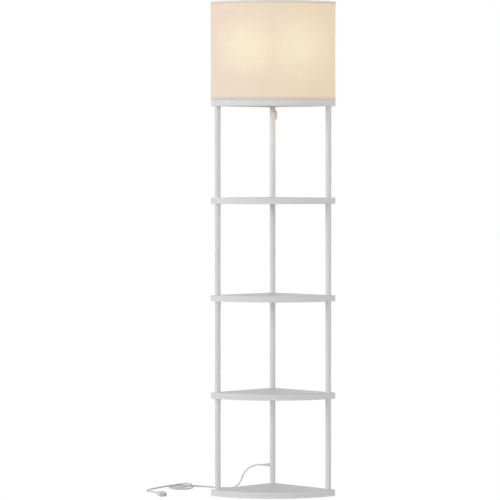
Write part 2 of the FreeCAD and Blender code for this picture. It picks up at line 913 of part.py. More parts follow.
def coil_point(turn):
    """The cord's centre after so many turns: it winds in on the floor, then opens over itself."""
    inward = min(turn, coil_inward_turns)
    opening = blend(coil_inward_turns, coil_turns - 0.1, turn)
    wider, deeper, further_back = coil_opening
    angle = math.radians(coil_start_angle) + 2 * math.pi * turn
    half_width = coil_half_width - coil_pitch_across * inward + wider * opening
    half_depth = coil_half_depth - coil_pitch_deep * inward + deeper * opening
    hump = blend(coil_turns - 0.81, coil_turns - 0.35, turn) - blend(coil_turns - 0.2, coil_turns, turn)
    return vec(coil_centre[0] - 2.0 * opening + half_width * math.cos(angle),
               coil_centre[1] + coil_drift * inward + further_back * opening + half_depth * math.sin(angle),
               cord_radius + 0.1 + coil_hump_rise * hump)


def coil_tangent(turn):
    step = 0.001
    return (coil_point(turn + step) - coil_point(turn - step)).normalize()


def tangent_arc(start, tangent, end):
    """The arc from start to end that leaves along tangent."""
    chord = end - start
    length = chord.Length
    chord.normalize()
    turn = tangent.getAngle(chord)
    side = tangent - chord * tangent.dot(chord)
    side.normalize()
    return Part.Arc(start, (start + end) * 0.5 + side * (length / 2 * math.tan(turn / 2)), end).toShape()


def biarc(start, start_tangent, end, end_tangent):
    """Two arcs that join start to end smoothly along both tangents."""
    span = end - start
    both = start_tangent + end_tangent
    spread = 2 * (1 - start_tangent.dot(end_tangent))
    along = span.dot(both)
    reach = (math.sqrt(along ** 2 + spread * span.dot(span)) - along) / spread
    joint = (start + end + (start_tangent - end_tangent) * reach) * 0.5
    back = tangent_arc(end, end_tangent * -1, joint)
    return [tangent_arc(start, start_tangent, joint), Part.Arc(
        joint, back.valueAt((back.FirstParameter + back.LastParameter) / 2), end).toShape()]


def coil_path():
    """Quarter-turn biarcs along the coil, with a straight end one cord diameter long at each end."""
    steps = round(coil_turns * 4)
    turns = [coil_turns * k / steps for k in range(steps + 1)]
    points = [coil_point(turn) for turn in turns]
    tangents = [coil_tangent(turn) for turn in turns]
    edges = [Part.LineSegment(coil_start(), points[0]).toShape()]
    for k in range(steps):
        edges += biarc(points[k], tangents[k], points[k + 1], tangents[k + 1])
    edges.append(Part.LineSegment(points[-1], coil_end()).toShape())
    return Part.Wire(edges)


def coil_start():
    return coil_point(0) - coil_tangent(0) * cord_diameter


def coil_end():
    return coil_point(coil_turns) + coil_tangent(coil_turns) * cord_diameter


def report_coil():
    """Prints the least gap between turns and the tightest bend, measured on points of the line."""
    samples = 90
    points = [coil_point(k / samples) for k in range(int(coil_turns * samples) + 1)]
    least = min((points[i] - points[j]).Length
                for i in range(len(points)) for j in range(i + samples // 4, len(points)))
    bends = [(last - middle).Length / (last - middle).getAngle(middle - first)
             for first, middle, last in zip(points, points[1:], points[2:])]
    print(f"coil: least gap between turns {least - cord_diameter:.2f} mm, tightest bend {min(bends):.1f} mm")


def cord_coil():
    report_coil()
    return round_tube(coil_path(), cord_diameter, "coil")


# ---- the free runs of the cord --------------------------------------------------------------
def lamp_run_points():
    """From the post, through the strain relief, down to the floor, and along it to the coil."""
    out = cord_exit_direction()
    floor = cord_radius + 0.1
    return [
        cord_exit(),
        cord_exit() + out * relief_length,
        cord_exit() + out * (relief_length + 26.0) - UP * 1.0,
        vec(-83.0, 123.0, 71.0),
        vec(-97.0, 129.0, 50.0),
        vec(-105.0, 137.0, 28.0),
        vec(-117.0, 145.0, 9.5),
        vec(-139.0, 153.0, floor),
        vec(-168.0, 168.0, floor),
        vec(-212.0, 197.0, floor),
        coil_start() - coil_tangent(0) * 30.0,
        coil_start(),
    ]


def plug_direction():
    heading = math.radians(plug_heading)
    return vec(math.cos(heading), math.sin(heading))


def plug_entry():
    """Where the cord goes into the plug's tapered grip."""
    return vec(-375.0, -21.0, plug_height / 2)


def plug_run_points():
    """From the coil, round in a wide bend on the floor, to the plug."""
    floor = cord_radius + 0.1
    leave = coil_tangent(coil_turns)
    return [
        coil_end(),
        coil_end() + leave * 26.0,
        vec(-373.0, 180.0, floor),
        vec(-395.0, 134.0, floor),
        vec(-416.0, 84.0, floor),
        vec(-403.0, 40.0, floor + 1.5),
        plug_entry() - plug_direction() * 24.0,
        plug_entry(),
    ]


def cord_run(points, name):
    return round_tube(rounded_path(points, name), cord_diameter, name)


# ---- plug -----------------------------------------------------------------------------------
def rounded_rectangle(width, height, radius, at):
    """A closed wire square to +X at a distance along it."""
    half_w, half_h = width / 2 - radius, height / 2 - radius
    bend = radius * ROOT_HALF
    edges = []
    for sy, sz, turn in ((1, 1, 0), (-1, 1, 1), (-1, -1, 2), (1, -1, 3)):
        centre = vec(at, sy * half_w, sz * half_h)
        first = vec(0, radius * sy, 0) if turn % 2 == 0 else vec(0, 0, radius * sz)
        last = vec(0, 0, radius * sz) if turn % 2 == 0 else vec(0, radius * sy, 0)
        edges.append(Part.Arc(centre + first, centre + vec(0, sy * bend, sz * bend), centre + last).toShape())
    closed = []
    for k, edge in enumerate(edges):
        following = edges[(k + 1) % 4]
        closed += [edge, Part.LineSegment(edge.valueAt(edge.LastParameter),
                                          following.valueAt(following.FirstParameter)).toShape()]
    return Part.Wire(Part.__sortEdges__(closed))


def place_plug(shape):
    shape.rotate(vec(0, 0), UP, plug_heading)
    shape.translate(plug_entry())
    return shape


def plug_body():
    grip, length = plug_grip_length, plug_grip_length + plug_body_length
    sections = [
        rounded_rectangle(plug_grip_tip, plug_grip_tip, plug_grip_tip * 0.48, 0),
        rounded_rectangle(plug_grip_neck, plug_grip_neck, plug_grip_neck * 0.46, grip * 0.75),
        rounded_rectangle(plug_width * 0.62, plug_height * 0.82, 5.0, grip),
        rounded_rectangle(plug_width * 0.94, plug_height * 0.97, 5.0, grip + plug_body_length * 0.3),
        rounded_rectangle(plug_width * 0.94, plug_height * 0.97, 4.5, length - plug_rim),
        rounded_rectangle(plug_width, plug_height, 4.0, length - plug_rim + 0.5),
        rounded_rectangle(plug_width, plug_height, 4.0, length),
    ]
    body = Part.makeLoft(sections, True, True).cut(finger_grooves(length - plug_rim))
    slots = blade_slots(length - 4.0, length, thread_clearance)
    return place_plug(body.cut(slots))


def finger_grooves(end):
    """Round bars across the plug's flat sides, spaced back from its rim, to cut shallow grooves with."""
    bars = []
    for side in (-1, 1):
        level = side * (plug_height / 2 + plug_groove_radius - plug_groove_depth)
        for k in range(plug_groove_count):
            start = vec(end - plug_groove_spacing * (k + 0.75), -plug_width, level)
            bars.append(Part.makeCylinder(plug_groove_radius, 2 * plug_width, start, vec(0, 1)))
    return group(bars)


def blade_slots(start, end, gap):
    """Upright flat bars side by side along the plug's axis, grown by gap on each side."""
    bars = []
    for side in (-1, 1):
        corner = vec(start, side * blade_spacing / 2 - blade_thickness / 2 - gap, -blade_width / 2 - gap)
        bars.append(Part.makeBox(end - start, blade_thickness + 2 * gap, blade_width + 2 * gap, corner))
    return group(bars)


def plug_blades():
    root = plug_grip_length + plug_body_length - 4.0
    tip = plug_grip_length + plug_body_length + blade_length
    blades = []
    for bar in blade_slots(root, tip, 0).Solids:
        hole = Part.makeCylinder(blade_hole / 2, 2 * plug_width, vec(tip - 4.0, -plug_width), vec(0, 1))
        blades.append(bar.cut(hole))
    return place_plug(group(blades))


# ---- every node and its file ----------------------------------------------------------------
def all_nodes():
    solid_inserts, hollow_inserts = post_inserts()
    nodes = {
        "base_shelf": shelf(0), "lower_shelf": shelf(1), "middle_shelf": shelf(2), "upper_shelf": shelf(3),
        "top_frame": top_frame(), "foot_pads": foot_pads(),
        "bolt_inserts": solid_inserts, "pipe_inserts": hollow_inserts,
        "joining_studs": joining_studs(), "joining_pipes": joining_pipes(),
        "base_bolts": base_bolts(), "top_bolts": top_bolts(),
        "outlet_pipe": outlet_pipe(), "outlet_nut": outlet_nut(),
        "lamp_bar": lamp_bar(), "lamp_bar_screws": lamp_bar_screws(),
        "lamp_stem": lamp_stem(), "stem_nuts": stem_nuts(),
        "cluster_hub": cluster_hub(), "hub_cover": hub_cover(), "pull_switch": pull_switch(),
        "screw_shells": group([screw_shell(-1), screw_shell(1)]),
        "socket_contacts": group([socket_contact(-1), socket_contact(1)]),
        "pull_chain": pull_chain(), "pull_fob": pull_fob(), "chain_grommet": chain_grommet(),
        "shade_fabric": shade_fabric(),
        "shade_top_ring": shade_ring(top_ring_level()), "shade_bottom_ring": shade_ring(bottom_ring_level()),
        "shade_uprights": shade_uprights(), "shade_clips": shade_clips(), "clip_screws": clip_screws(),
        "inner_cord": inner_cord(), "strain_relief": strain_relief(),
        "cord_run_lamp": cord_run(lamp_run_points(), "lamp run"), "cord_coil": cord_coil(),
        "cord_run_plug": cord_run(plug_run_points(), "plug run"),
        "plug_body": plug_body(), "plug_blades": plug_blades(),
    }
    for side, name in ((-1, "left"), (1, "right")):
        nodes[f"{name}_holder"] = lamp_holder(side)
        nodes[f"{name}_bulb_cap"] = bulb_cap(side)
        nodes[f"{name}_bulb_neck"] = bulb_neck(side)
        nodes[f"{name}_bulb_dome"] = bulb_dome(side)
    for name in post_centres():
        for level in range(bay_count):
            nodes[f"{name}_post_{level + 1}"] = post_tube(name, level)
    return nodes


os.makedirs("parts", exist_ok=True)
for node, shape in all_nodes().items():
    if not shape.isValid() or shape.Volume <= 0:
        print(f"{node}: the solid isn't valid")
    shape.exportStep(f"parts/{node}.step")
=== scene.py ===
# %% [markdown]
# # A corner shelf floor lamp
#
# The lamp is five quarter-round white boards on three slim tube posts, with a linen shade of the
# same outline on top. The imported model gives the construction, in metres, with the floor at z = 0
# and the rounded front towards -Y. This script dresses it: it never moves a part of the model, it
# only gives finishes to the parts that are right as they are and puts fuller pieces over the rest.

import math
import random

import bmesh
import bpy
from mathutils import Matrix, Vector


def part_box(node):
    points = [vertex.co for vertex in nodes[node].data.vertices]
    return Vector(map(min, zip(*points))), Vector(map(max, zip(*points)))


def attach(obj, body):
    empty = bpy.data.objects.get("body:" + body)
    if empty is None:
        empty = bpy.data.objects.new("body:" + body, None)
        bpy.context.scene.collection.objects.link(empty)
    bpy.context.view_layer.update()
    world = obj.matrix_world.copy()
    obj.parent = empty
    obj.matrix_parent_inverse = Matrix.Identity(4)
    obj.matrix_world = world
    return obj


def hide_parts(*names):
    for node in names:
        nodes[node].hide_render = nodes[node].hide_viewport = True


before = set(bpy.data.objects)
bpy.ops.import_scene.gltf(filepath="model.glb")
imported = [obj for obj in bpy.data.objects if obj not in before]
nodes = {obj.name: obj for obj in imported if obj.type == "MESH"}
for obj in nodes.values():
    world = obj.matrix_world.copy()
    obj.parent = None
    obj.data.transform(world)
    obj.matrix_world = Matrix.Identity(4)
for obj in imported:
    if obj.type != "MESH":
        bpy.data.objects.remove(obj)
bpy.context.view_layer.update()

# %% [markdown]
# ## The view
#
# The photograph was taken from far away with a long lens: the posts stay almost parallel, and of the
# boards only the open top frame is seen from below. A long lens from the same distance gives the
# same slight convergence. The camera tilts down by less than two degrees and uses no shift, so other
# views keep their frame.

# %% Camera
camera_place = (-0.0742, -9.399, 1.0768)
camera_tilt_down = 1.725
lens_mm = 209.0

lens = bpy.data.cameras.new("view")
lens.lens = lens_mm
lens.sensor_width = 36.0
lens.clip_end = 100.0
camera = bpy.data.objects.new("view", lens)
camera.location = camera_place
camera.rotation_euler = (math.radians(90 - camera_tilt_down), 0, 0)
bpy.context.scene.collection.objects.link(camera)
bpy.context.scene.camera = camera
print("camera at", camera_place, "lens", lens_mm, "mm")

# %% [markdown]
# ## Finishes: where they start
#
# Every finish on the lamp is one Principled shader. Nodes work out its detail from the piece's own
# coordinates, or on the cloth from a map of its own, so it holds at any size of picture and needs
# no image. A value that is the same all over is set on the shader's socket, and only what varies
# is linked.


# %% One shader and the nodes that feed it
def finish(name, colour, roughness, metallic=0.0, **sockets):
    """A new material with one Principled shader; more socket values come by name."""
    material = bpy.data.materials.new(name)
    material.use_nodes = True
    material.diffuse_color = (*colour, 1.0)
    shader = material.node_tree.nodes["Principled BSDF"]
    shader.inputs["Base Color"].default_value = (*colour, 1.0)
    shader.inputs["Roughness"].default_value = roughness
    shader.inputs["Metallic"].default_value = metallic
    for socket, value in sockets.items():
        shader.inputs[socket.replace("_", " ")].default_value = value
    return material


def add(material, kind, links=(), **values):
    """A new node; links are (socket, output) pairs, and values are set on sockets by name."""
    node = material.node_tree.nodes.new("ShaderNode" + kind)
    for socket, value in values.items():
        node.inputs[socket].default_value = value
    for socket, output in links:
        material.node_tree.links.new(output, node.inputs[socket])
    return node


def shader_of(material):
    return material.node_tree.nodes["Principled BSDF"]


def feed(material, socket, output):
    material.node_tree.links.new(output, shader_of(material).inputs[socket])


print("first helpers: finish, add, shader_of, feed")


# %% Where a pattern lies, and noise
def place_on_piece(material, scale=(1.0, 1.0, 1.0)):
    """The piece's own coordinates in metres, stretched by a scale."""
    source = add(material, "TexCoord").outputs["Object"]
    return add(material, "Mapping", [("Vector", source)], Scale=scale).outputs["Vector"]


def noise(material, scale, detail=2.0, stretch=(1.0, 1.0, 1.0), vector=None):
    vector = vector or place_on_piece(material, stretch)
    return add(material, "TexNoise", [("Vector", vector)], Scale=scale, Detail=detail).outputs["Fac"]


print("pattern helpers: place_on_piece, noise")


# %% Sums, colours and bumps
def sums(material, operation, first, second):
    """A maths node of two values; each is a number or an output."""
    node = add(material, "Math")
    node.operation = operation
    for socket, value in zip(node.inputs, (first, second)):
        if isinstance(value, (int, float)):
            socket.default_value = value
        else:
            material.node_tree.links.new(value, socket)
    return node.outputs[0]


def span(material, factor, low, high):
    """A number that goes from low to high as the factor goes from 0 to 1."""
    limits = {"To Min": low, "To Max": high}
    return add(material, "MapRange", [("Value", factor)], **limits).outputs["Result"]


def ramp(material, factor, stops):
    """Colours by a factor; stops are (position, colour)."""
    node = add(material, "ValToRGB", [("Fac", factor)])
    while len(node.color_ramp.elements) < len(stops):
        node.color_ramp.elements.new(0.5)
    for element, (position, colour) in zip(node.color_ramp.elements, stops):
        element.position = position
        element.color = (*colour, 1.0)
    return node.outputs["Color"]


def bump(material, height, depth, strength=1.0, under=None):
    """Raises the surface by depth metres where height is 1; under is a bump that it adds to."""
    node = add(material, "Bump", [("Height", height)], Distance=depth, Strength=strength)
    if under:
        material.node_tree.links.new(under, node.inputs["Normal"])
    return node.outputs["Normal"]


print("detail helpers: sums, span, ramp, bump")


# %% Shades of a colour, and dressing parts of the model
def scaled(colour, share):
    return tuple(channel * share for channel in colour)


def dress(material, *names):
    """Gives parts of the model their finish."""
    for name in names:
        data = nodes[name].data
        data.materials.clear()
        data.materials.append(material)
    print(material.name, "on", len(names), "parts")


print("parts to dress:", len(nodes))

# %% [markdown]
# ## The cord's vinyl
#
# A white mains lead has a soft PVC jacket: it isn't glossy, and the twist of the wires inside shows
# as a faint ripple. Noise makes the ripple and slightly uneven gloss.

# %% Vinyl
vinyl_white = (0.73, 0.73, 0.725)


def vinyl_finish(name, colour):
    material = finish(name, colour, 0.42)
    ripple = noise(material, 220.0, 3.0)
    feed(material, "Base Color", ramp(material, ripple, [(0.3, scaled(colour, 0.95)), (0.7, colour)]))
    feed(material, "Roughness", span(material, ripple, 0.36, 0.52))
    feed(material, "Normal", bump(material, ripple, 0.00012))
    return material


cord_vinyl = vinyl_finish("cord_vinyl", vinyl_white)
plug_vinyl = vinyl_finish("plug_vinyl", scaled(vinyl_white, 1.08))
print("vinyl", vinyl_white)

# %% [markdown]
# ## The cord's route
#
# The cord leaves the back post through a strain relief a little above the base, drops to the floor
# and runs left behind the lamp to a loose coil, then round to the plug. The photograph shows coil
# and plug, but not the way out of the post, which is a guess. A mesh tube or a Bezier curve could
# follow the route too, but one open NURBS line of order 3 needs only a few listed points and
# those of the coil's turns, and every bend between them is smooth by itself. The coil is a little
# over two loose turns of an oval: they wind in on the floor and fan out towards the back, and the
# last half turn opens again and goes over the first in a long low hump.

# %% The coil's turns
cord_diameter = 0.005
cord_floor = 0.0026
coil_turns = 2.17
coil_start_angle = 68.0
coil_centre = (-0.3005, 0.1754)
coil_half_width = 0.0440
coil_half_depth = 0.0676
coil_pitch_across = 0.0082
coil_pitch_deep = 0.0190
coil_drift = 0.0110
coil_inward_turns = 1.58
coil_opening = (0.0065, 0.0156, 0.0120)
coil_opening_shift = 0.002
coil_hump_rise = 0.0058
points_in_a_turn = 16

# Turns before the coil's end: where it is fully open, and where the hump starts, is up and falls.
open_before_end = 0.1
hump_before_end = (0.81, 0.35, 0.2)


def ease(start, end, value):
    share = min(max((value - start) / (end - start), 0.0), 1.0)
    return share * share * (3 - 2 * share)


def coil_point(turn):
    """The cord's centre after so many turns: it winds in on the floor, then opens over itself."""
    inward = min(turn, coil_inward_turns)
    opening = ease(coil_inward_turns, coil_turns - open_before_end, turn)
    wider, deeper, further_back = coil_opening
    angle = math.radians(coil_start_angle) + 2 * math.pi * turn
    half_width = coil_half_width - coil_pitch_across * inward + wider * opening
    half_depth = coil_half_depth - coil_pitch_deep * inward + deeper * opening
    starts, up_by, falls = [coil_turns - before for before in hump_before_end]
    hump = ease(starts, up_by, turn) - ease(falls, coil_turns, turn)
    across = coil_centre[0] - coil_opening_shift * opening + half_width * math.cos(angle)
    back = coil_centre[1] + coil_drift * inward + further_back * opening + half_depth * math.sin(angle)
    return Vector((across, back, cord_floor + coil_hump_rise * hump))


def coil_tangent(turn):
    step = 0.001
    return (coil_point(turn + step) - coil_point(turn - step)).normalized()


coil_steps = round(coil_turns * points_in_a_turn)
coil_points = [coil_point(coil_turns * k / coil_steps) for k in range(coil_steps + 1)]
print("coil:", len(coil_points), "points in", coil_turns, "turns")

# %% The free runs on each side of the coil
post_low, post_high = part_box("back_post_1")
base_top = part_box("base_shelf")[1].z
back_post = Vector(((post_low.x + post_high.x) / 2, (post_low.y + post_high.y) / 2, 0.0))
post_radius = (post_high.x - post_low.x) / 2
exit_height = 0.062
out = Vector((-1.0, 0.0, 0.0))
up = Vector((0.0, 0.0, 1.0))
cord_exit = back_post + out * post_radius + up * (base_top + exit_height)
relief_length = 0.024

lamp_run = [
    cord_exit,
    cord_exit + out * relief_length,
    cord_exit + out * (relief_length + 0.026) - up * 0.001,
    Vector((-0.083, 0.123, 0.071)),
    Vector((-0.097, 0.129, 0.050)),
    Vector((-0.105, 0.137, 0.028)),
    Vector((-0.117, 0.145, 0.0095)),
    Vector((-0.139, 0.153, cord_floor)),
    Vector((-0.168, 0.168, cord_floor)),
    Vector((-0.212, 0.197, cord_floor)),
    coil_points[0] - coil_tangent(0) * 0.035,
    coil_points[0] - coil_tangent(0) * cord_diameter,
]

plug_heading = math.radians(-67.0)
plug_direction = Vector((math.cos(plug_heading), math.sin(plug_heading), 0.0))
plug_entry = Vector((-0.375, -0.021, 0.008))
leaving = coil_tangent(coil_turns)
plug_run = [
    coil_points[-1] + leaving * cord_diameter,
    coil_points[-1] + leaving * 0.031,
    Vector((-0.373, 0.180, cord_floor)),
    Vector((-0.395, 0.134, cord_floor)),
    Vector((-0.416, 0.084, cord_floor)),
    Vector((-0.403, 0.040, cord_floor + 0.0015)),
    plug_entry - plug_direction * 0.024,
    plug_entry,
]
print("cord leaves the post at", [round(value, 4) for value in cord_exit])


# %% One smooth line through all the points
def smooth_line(name, points, diameter):
    """A round cord on one open NURBS spline of order 3 with the points as its control points."""
    line = bpy.data.curves.new(name, "CURVE")
    line.dimensions = "3D"
    line.resolution_u = 10
    line.bevel_depth = diameter / 2
    line.bevel_resolution = 6
    line.use_fill_caps = True
    spline = line.splines.new("NURBS")
    spline.points.add(len(points) - 1)
    for control, place in zip(spline.points, points):
        control.co = (*place, 1.0)
    spline.order_u = 3
    spline.use_endpoint_u = True
    piece = bpy.data.objects.new(name, line)
    bpy.context.scene.collection.objects.link(piece)
    return piece


free_cord = smooth_line("free_cord", lamp_run + coil_points + plug_run, cord_diameter)
free_cord.data.materials.append(cord_vinyl)
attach(free_cord, "stand")
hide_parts("cord_run_lamp", "cord_coil", "cord_run_plug")
print("cord:", len(free_cord.data.splines[0].points), "control points")

# %% [markdown]
# ## Pieces turned on a lathe, and pieces lofted through rings
#
# Strain relief, chain and plug are round or nearly round, so each is a row of rings of points with
# faces between them. A cylinder primitive has no taper, groove or rounding, which are just what
# makes such a piece look moulded.


# %% Rings into a closed mesh
def new_piece(name, data, material, body="stand"):
    piece = bpy.data.objects.new(name, data)
    bpy.context.scene.collection.objects.link(piece)
    piece.data.materials.append(material)
    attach(piece, body)
    return piece


def mesh_of_rings(name, rings, smooth_under=50.0):
    """Joins rings of points, equal in number, and closes both ends."""
    work = bmesh.new()
    rows = [[work.verts.new(point) for point in ring] for ring in rings]
    for low, high in zip(rows, rows[1:]):
        for k in range(len(low)):
            after = (k + 1) % len(low)
            work.faces.new((low[k], low[after], high[after], high[k]))
    work.faces.new(reversed(rows[0]))
    work.faces.new(rows[-1])
    bmesh.ops.recalc_face_normals(work, faces=work.faces)
    data = bpy.data.meshes.new(name)
    work.to_mesh(data)
    work.free()
    soften(data, smooth_under)
    return data


def soften(data, smooth_under):
    """Smooth shading, with an edge kept sharp where its faces turn by more than the angle."""
    data.polygons.foreach_set("use_smooth", [True] * len(data.polygons))
    data.set_sharp_from_angle(angle=math.radians(smooth_under))


def ring_round(axis_place, radius, count=48):
    """Points round +Z at (0, 0, axis_place)."""
    angles = [2 * math.pi * k / count for k in range(count)]
    return [Vector((radius * math.cos(angle), radius * math.sin(angle), axis_place)) for angle in angles]


def turned_rings(profile, count=48):
    """Rings from (radius, place along the axis) pairs."""
    return [ring_round(place, radius, count) for radius, place in profile]


def moved(rings, matrix):
    return [[matrix @ point for point in ring] for ring in rings]


print("a ring has", len(ring_round(0.0, 1.0)), "points")

# %% [markdown]
# ## The strain relief
#
# A mains lead is moulded into a ribbed sleeve so that it can't be bent sharply where it leaves the
# post. The ribs get thinner towards the free end. The flange sits on the round tube, so its back
# follows the tube's curve.

# %% Strain relief
relief_ribs = 6
relief_rib_share = 0.6
groove_radius = 0.0034
first_rib_radius = 0.0047
rib_taper = 0.0011
flange_thickness = 0.0025
flange_back_ring = 3
off_the_tube = 0.00005


def relief_profile():
    """(radius, distance from the post's axis) pairs: neck, flange, then ribs that taper."""
    neck, flange = 0.0045, 0.0065
    inside_post = post_radius - 0.0025
    seat = post_radius + flange_thickness
    tip = post_radius + relief_length
    profile = [(0.0027, inside_post), (neck, inside_post), (neck, post_radius - 0.0002),
               (flange, post_radius), (flange, seat - 0.0008), (flange - 0.0003, seat - 0.0002),
               (flange - 0.001, seat)]
    start = seat + 0.0006
    pitch = (tip - start) / relief_ribs
    for k in range(relief_ribs):
        rib = first_rib_radius - rib_taper * k / (relief_ribs - 1)
        low = start + pitch * k
        high = start + pitch * (k + relief_rib_share)
        profile += [(groove_radius, low - 0.0001), (rib - 0.0002, low), (rib, low + 0.0003),
                    (rib, high - 0.0003), (rib - 0.0002, high), (groove_radius, high + 0.0001)]
    return profile + [(0.0031, tip), (0.0026, tip)]


relief_place = Matrix.Translation(back_post + up * (base_top + exit_height))
relief_turn = relief_place @ Matrix.Rotation(math.radians(-90), 4, "Y")
relief_rings = moved(turned_rings(relief_profile()), relief_turn)
for point in relief_rings[flange_back_ring]:
    aside = point.y - back_post.y
    point.x = back_post.x - math.sqrt(post_radius ** 2 - aside ** 2) - off_the_tube
relief_mesh = mesh_of_rings("strain_relief_ribbed", relief_rings, 35.0)
relief = new_piece("strain_relief_ribbed", relief_mesh, cord_vinyl)
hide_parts("strain_relief")
print("strain relief:", relief_ribs, "ribs")

# %% [markdown]
# ## The plug
#
# The photograph shows a moulded plug lying on its flat side: a long ribbed cone where the cord goes
# in, a body with finger grooves, and a rim round the face that carries the blades. Its sections are
# rounded rectangles, so it is lofted through superellipse rings. Grooves are rings drawn in a little.


# %% Plug body
neck_ribs = 7
neck_rib_pitch = 4.0
finger_groove_places = (29.5, 33.5, 37.5)


def oval_ring(place, width, height, squareness, count=56):
    """A superellipse square to +X; squareness 2 is an ellipse, and more is boxier."""
    ring = []
    for k in range(count):
        angle = 2 * math.pi * k / count
        across, over = math.cos(angle), math.sin(angle)
        ring.append(Vector((place, math.copysign(abs(across) ** (2 / squareness), across) * width / 2,
                            math.copysign(abs(over) ** (2 / squareness), over) * height / 2)))
    return ring


def plug_sections():
    """(place, width, height, squareness) from the neck to the face, in millimetres."""
    sections = [(-16.0, 5.8, 5.8, 2.0), (-15.6, 6.6, 6.6, 2.0)]
    for k in range(neck_ribs):
        place = -14.0 + neck_rib_pitch * k
        width = 6.9 + 1.2 * k
        height = 6.9 + 0.75 * k
        sections += [(place, width, height, 2.0), (place + 2.6, width + 0.8, height + 0.5, 2.0),
                     (place + 2.8, width + 0.3, height, 2.0), (place + 3.6, width + 0.5, height + 0.2, 2.0)]
    sections += [(15.5, 15.6, 12.4, 2.3), (20.0, 17.8, 13.5, 2.6), (24.0, 19.9, 14.5, 2.9),
                 (27.0, 21.4, 15.2, 3.2)]
    for place in finger_groove_places:
        sections += [(place, 23.0, 15.7, 3.4), (place + 0.5, 22.0, 14.9, 3.4), (place + 2.0, 22.0, 14.9, 3.4),
                     (place + 2.5, 23.2, 15.8, 3.4)]
    sections += [(43.0, 23.4, 15.9, 3.6), (46.5, 23.0, 15.7, 3.6), (46.9, 24.6, 16.0, 3.8),
                 (51.0, 24.9, 16.0, 4.0), (51.7, 24.5, 15.7, 4.0), (52.0, 23.8, 15.1, 4.0)]
    return sections


plug_place = Matrix.Translation(plug_entry) @ Matrix.Rotation(plug_heading, 4, "Z")
plug_rings = [oval_ring(place / 1000, width / 1000, height / 1000, squareness)
              for place, width, height, squareness in plug_sections()]
plug_mesh = mesh_of_rings("plug_moulded", moved(plug_rings, plug_place), 40.0)
plug = new_piece("plug_moulded", plug_mesh, plug_vinyl)
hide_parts("plug_body")
print("plug:", len(plug_rings), "sections")

# %% [markdown]
# The free cord is one drawn line of the cord's thickness, from the strain relief through the coil to
# the plug.

# %% [markdown]
# ## White boards
#
# Each board is fibreboard with a white foil on its faces and a plastic band round its edge. The
# foil is satin, with a very fine pebble, and isn't quite even. A thin line shows where the band
# meets the faces. The line is worked out from height: every board repeats at the same storey.

# %% Board foil and edge band
board_white = (0.775, 0.78, 0.775)
board_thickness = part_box("base_shelf")[1].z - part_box("base_shelf")[0].z
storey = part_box("lower_shelf")[0].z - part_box("base_shelf")[0].z
band_edge = 0.0006
band_line_half = 0.00012
band_line_shade = 0.72


def mixed(material, factor, first, second, blend="MIX"):
    """Two colours by a factor; each of the three is an output or a value."""
    node = add(material, "Mix")
    node.data_type = "RGBA"
    node.blend_type = blend
    for socket, value in zip((node.inputs[0], node.inputs[6], node.inputs[7]), (factor, first, second)):
        if hasattr(value, "node"):
            material.node_tree.links.new(value, socket)
        else:
            socket.default_value = value
    return node.outputs[2]


def board_finish():
    material = finish("white_board", board_white, 0.4)
    patches = noise(material, 14.0, 4.0)
    colour = ramp(material, patches, [(0.3, scaled(board_white, 0.975)), (0.7, board_white)])
    height = add(material, "SeparateXYZ", [("Vector", place_on_piece(material))]).outputs["Z"]
    above_base = sums(material, "SUBTRACT", height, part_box("base_shelf")[0].z)
    in_storey = sums(material, "MODULO", above_base, storey)
    from_middle = sums(material, "ABSOLUTE", sums(material, "SUBTRACT", in_storey, board_thickness / 2), 0)
    line_place = board_thickness / 2 - band_edge
    off_line = sums(material, "ABSOLUTE", sums(material, "SUBTRACT", from_middle, line_place), 0)
    line = sums(material, "LESS_THAN", off_line, band_line_half)
    line_grey = (*scaled(board_white, band_line_shade), 1.0)
    feed(material, "Base Color", mixed(material, line, colour, line_grey))
    pebble = noise(material, 1400.0, 2.0)
    feed(material, "Roughness", span(material, patches, 0.34, 0.48))
    feed(material, "Normal", bump(material, pebble, 0.00003))
    return material


white_board = board_finish()
boards = ["base_shelf", "lower_shelf", "middle_shelf", "upper_shelf", "top_frame"]
dress(white_board, *boards)

# %% [markdown]
# ## Powder-coated steel
#
# The tubes, the lamp bar and the shade's wires are powder coated: melted powder leaves a slight
# orange peel, which is coarser than the pebble of the foil on the boards.

# %% Powder coat
coat_white = (0.77, 0.77, 0.765)


def powder_finish(name, colour, roughness):
    material = finish(name, colour, roughness)
    peel = noise(material, 420.0, 2.0)
    feed(material, "Base Color", ramp(material, peel, [(0.35, scaled(colour, 0.98)), (0.65, colour)]))
    feed(material, "Normal", bump(material, peel, 0.00006))
    return material


white_post = powder_finish("white_post", coat_white, 0.38)
white_steel = powder_finish("white_steel", coat_white, 0.42)
posts = [name for name in nodes if "_post_" in name]
dress(white_post, *posts)
dress(white_steel, "lamp_bar", "shade_top_ring", "shade_bottom_ring", "shade_uprights")

# %% [markdown]
# ## Metals
#
# Zinc plate is dull with a cloudy grain, nickel is bright, and brass and aluminium show only inside
# the holders. Threads are far too fine to model on a part this size: a screw's ridge is one turn of
# a helix, so the height along the axis plus the angle round it gives the pattern for a bump, and for
# painted shade that darkens the grooves.


# %% Plated steel, nickel, brass and aluminium
def metal_finish(name, colour, roughness, grain_scale, grain):
    material = finish(name, colour, roughness, 1.0)
    cloud = noise(material, grain_scale, 3.0)
    feed(material, "Base Color", ramp(material, cloud, [(0.3, scaled(colour, 1 - grain)), (0.7, colour)]))
    feed(material, "Roughness", span(material, cloud, roughness - 0.05, roughness + 0.12))
    feed(material, "Normal", bump(material, cloud, 0.00003))
    return material


